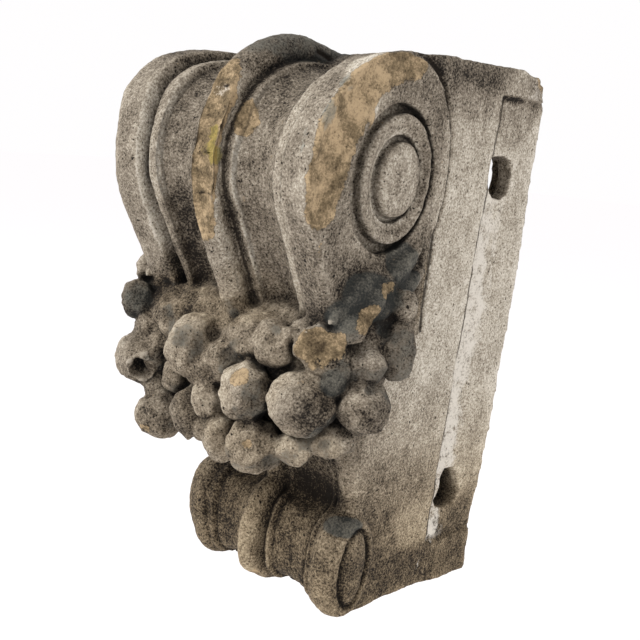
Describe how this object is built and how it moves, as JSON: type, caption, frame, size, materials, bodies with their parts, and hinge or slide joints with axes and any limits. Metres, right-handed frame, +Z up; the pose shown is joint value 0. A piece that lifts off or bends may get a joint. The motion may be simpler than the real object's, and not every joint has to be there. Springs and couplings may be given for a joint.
{
  "type": "terracotta corbel",
  "caption": "Weathered scrolled console bracket with side volutes, a beaded fluted face and a swag of fruit, built into a wall to carry a projecting course.",
  "frame": {"origin": "middle of the solid lower wall face, on the centre line", "axes": "+Y into the wall, +Z up, +X to the right as seen from the front"},
  "size_m": [0.3694, 0.3667, 0.6193],
  "materials": {
    "terracotta": "weathered, pitted fired clay with soot, lime and broken ochre edges"
  },
  "bodies": {
    "root": {"corbel": "terracotta"}
  },
  "joints": []
}
